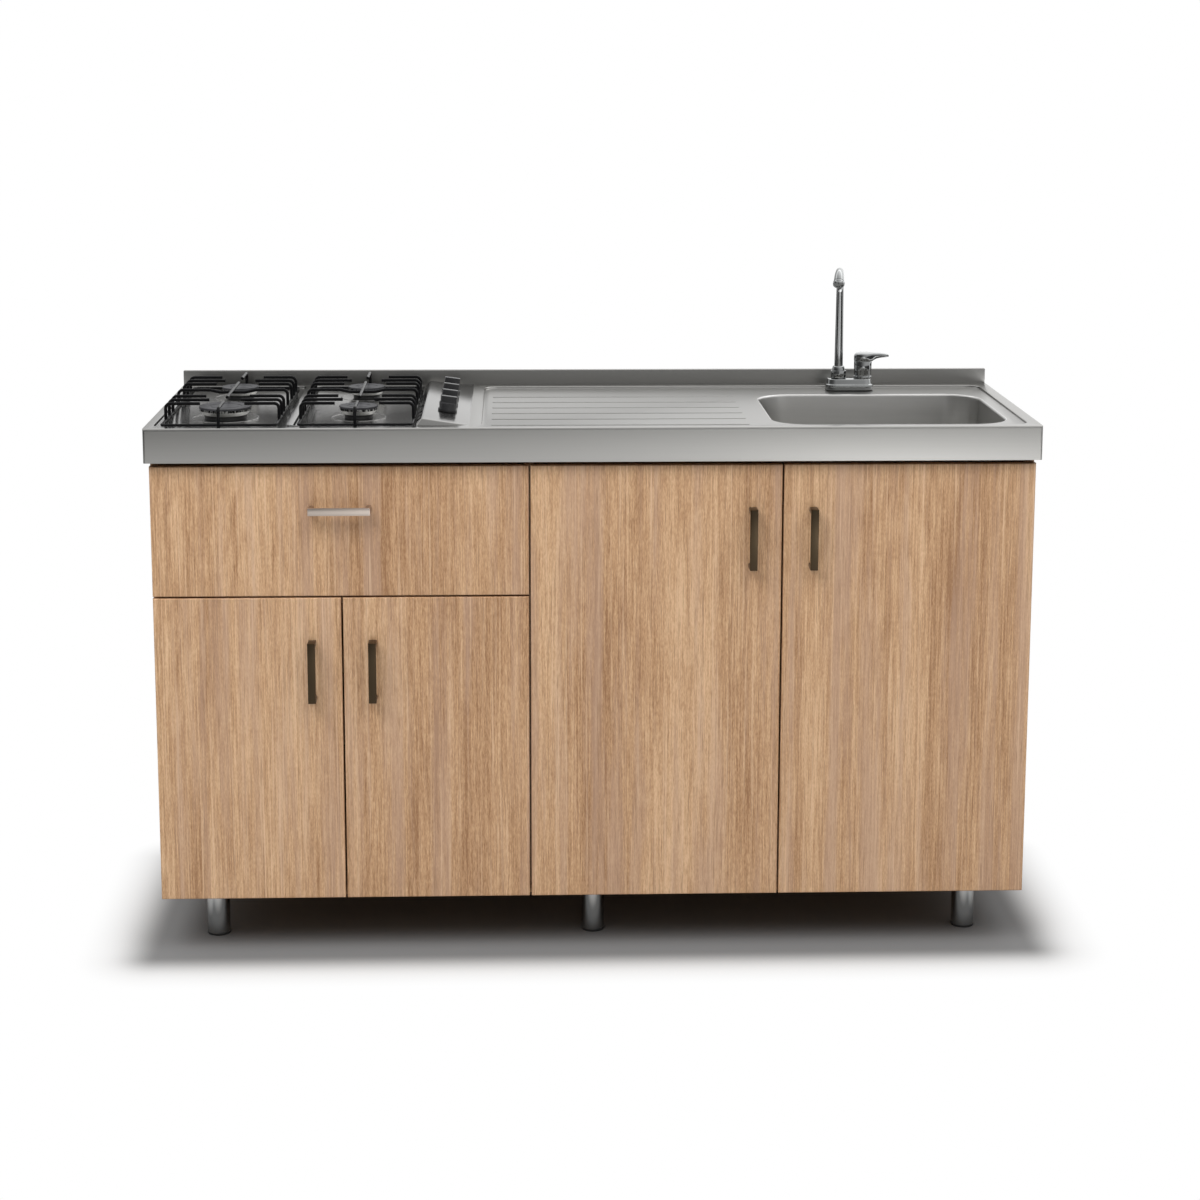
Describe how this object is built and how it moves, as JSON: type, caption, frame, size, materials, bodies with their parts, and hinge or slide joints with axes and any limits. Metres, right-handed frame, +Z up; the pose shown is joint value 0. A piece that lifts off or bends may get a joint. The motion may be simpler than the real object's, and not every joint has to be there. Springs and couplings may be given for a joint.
{
  "type": "kitchen base cabinet",
  "caption": "Free-standing kitchen base cabinet with a steel worktop that holds a gas hob, a drainer and a sink, over a drawer and hinged doors, on tube legs.",
  "frame": {"origin": "middle of the footprint on the floor", "axes": "+X to the right along the worktop, -Y to the front, +Z up"},
  "size_m": [1.5, 0.533, 1.148],
  "materials": {
    "laminate": "oak-look laminate, satin",
    "core_board": "raw board",
    "hardboard": "smooth hardboard",
    "steel_satin": "satin brushed",
    "steel_polished": "polished",
    "chrome": "bright plated",
    "zinc": "zinc plated",
    "handle_metal": "satin bronze",
    "black_enamel": "gloss enamel",
    "grey_enamel": "satin enamel",
    "aluminium": "turned and polished",
    "brass": "turned",
    "black_plastic": "gloss",
    "dark_plastic": "matte",
    "white_plastic": "matte",
    "rubber": "matte"
  },
  "bodies": {
    "root": {"side_panel_left": "laminate", "side_panel_right": "laminate", "base_panel": "laminate", "centre_partition": "laminate", "top_rails": "laminate", "drawer_rail": "laminate", "shelf": "laminate", "worktop_core": "core_board", "back_panel": "hardboard", "worktop_sheet": "steel_satin", "sink_bowl": "steel_satin", "hob_plate": "steel_polished", "strainer_flange": "steel_polished", "leg_tubes": "chrome", "faucet_base": "chrome", "leg_plates": "zinc", "shelf_pins": "zinc", "runners_cabinet": "zinc", "hinge_arms": "zinc", "hob_tray": "zinc", "gas_manifold": "zinc", "burner_caps": "grey_enamel", "burner_heads": "aluminium", "injector_cups": "aluminium", "gas_pipes": "aluminium", "gas_valves": "brass", "faucet_shanks": "brass", "leg_glides": "dark_plastic", "strainer_nut": "white_plastic", "waste_trap": "white_plastic", "faucet_gasket": "rubber"},
    "drawer": {"drawer_front": "laminate", "drawer_box": "laminate", "drawer_bottom": "hardboard", "runners_drawer": "zinc", "handle_drawer": "handle_metal"},
    "runner_middle": {"runners_middle": "zinc"},
    "small_door_left": {"door_small_left": "laminate", "hinge_cups_small_left": "zinc", "handle_small_left": "handle_metal"},
    "small_door_right": {"door_small_right": "laminate", "hinge_cups_small_right": "zinc", "handle_small_right": "handle_metal"},
    "tall_door_left": {"door_tall_left": "laminate", "hinge_cups_tall_left": "zinc", "handle_tall_left": "handle_metal"},
    "tall_door_right": {"door_tall_right": "laminate", "hinge_cups_tall_right": "zinc", "handle_tall_right": "handle_metal"},
    "knob_front": {"knob_1": "black_plastic"},
    "knob_mid_front": {"knob_2": "black_plastic"},
    "knob_mid_rear": {"knob_3": "black_plastic"},
    "knob_rear": {"knob_4": "black_plastic"},
    "left_grate": {"grate_left": "black_enamel"},
    "right_grate": {"grate_right": "black_enamel"},
    "spout": {"spout": "chrome", "aerator": "chrome"},
    "mixer": {"mixer_body": "chrome"},
    "lever": {"lever": "chrome"},
    "basket": {"strainer_basket": "steel_polished"}
  },
  "joints": [
    {"name": "drawer_slide", "type": "slide", "parent": "root", "child": "drawer", "axis": [0, -1, 0], "range_m": [0, 0.4]},
    {"name": "runner_slide", "type": "slide", "parent": "root", "child": "runner_middle", "axis": [0, -1, 0], "range_m": [0, 0.2]},
    {"name": "small_door_left_swing", "type": "hinge", "parent": "root", "child": "small_door_left", "pos_m": [-0.736, -0.232, 0.4], "axis": [0, 0, -1], "range_deg": [0, 90]},
    {"name": "small_door_right_swing", "type": "hinge", "parent": "root", "child": "small_door_right", "pos_m": [-0.1185, -0.232, 0.4], "axis": [0, 0, 1], "range_deg": [0, 85]},
    {"name": "tall_door_left_swing", "type": "hinge", "parent": "root", "child": "tall_door_left", "pos_m": [-0.1015, -0.232, 0.4], "axis": [0, 0, -1], "range_deg": [0, 85]},
    {"name": "tall_door_right_swing", "type": "hinge", "parent": "root", "child": "tall_door_right", "pos_m": [0.736, -0.232, 0.4], "axis": [0, 0, 1], "range_deg": [0, 90]},
    {"name": "knob_front_turn", "type": "hinge", "parent": "root", "child": "knob_front", "pos_m": [-0.25, -0.1055, 0.92529], "axis": [0.1379, 0, 0.9904], "range_deg": [0, 210]},
    {"name": "knob_mid_front_turn", "type": "hinge", "parent": "root", "child": "knob_mid_front", "pos_m": [-0.25, -0.0295, 0.92529], "axis": [0.1379, 0, 0.9904], "range_deg": [0, 210]},
    {"name": "knob_mid_rear_turn", "type": "hinge", "parent": "root", "child": "knob_mid_rear", "pos_m": [-0.25, 0.0465, 0.92529], "axis": [0.1379, 0, 0.9904], "range_deg": [0, 210]},
    {"name": "knob_rear_turn", "type": "hinge", "parent": "root", "child": "knob_rear", "pos_m": [-0.25, 0.1225, 0.92529], "axis": [0.1379, 0, 0.9904], "range_deg": [0, 210]},
    {"name": "left_grate_lift", "type": "slide", "parent": "root", "child": "left_grate", "axis": [0, 0, 1], "range_m": [0, 0.1]},
    {"name": "right_grate_lift", "type": "slide", "parent": "root", "child": "right_grate", "axis": [0, 0, 1], "range_m": [0, 0.1]},
    {"name": "spout_swivel", "type": "hinge", "parent": "root", "child": "spout", "pos_m": [0.465, 0.1985, 0.95], "axis": [0, 0, 1], "range_deg": [-80, 80]},
    {"name": "mixer_turn", "type": "hinge", "parent": "root", "child": "mixer", "pos_m": [0.51, 0.1985, 0.95], "axis": [0, 0, 1], "range_deg": [-40, 40]},
    {"name": "lever_lift", "type": "hinge", "parent": "mixer", "child": "lever", "pos_m": [0.4935, 0.1985, 0.9706], "axis": [0, -1, 0], "range_deg": [0, 18]},
    {"name": "basket_lift", "type": "slide", "parent": "root", "child": "basket", "axis": [0, 0, 1], "range_m": [0, 0.12]}
  ],
  "couplings": [
    {"joint": "runner_slide", "follows": "drawer_slide", "ratio": 0.5}
  ]
}
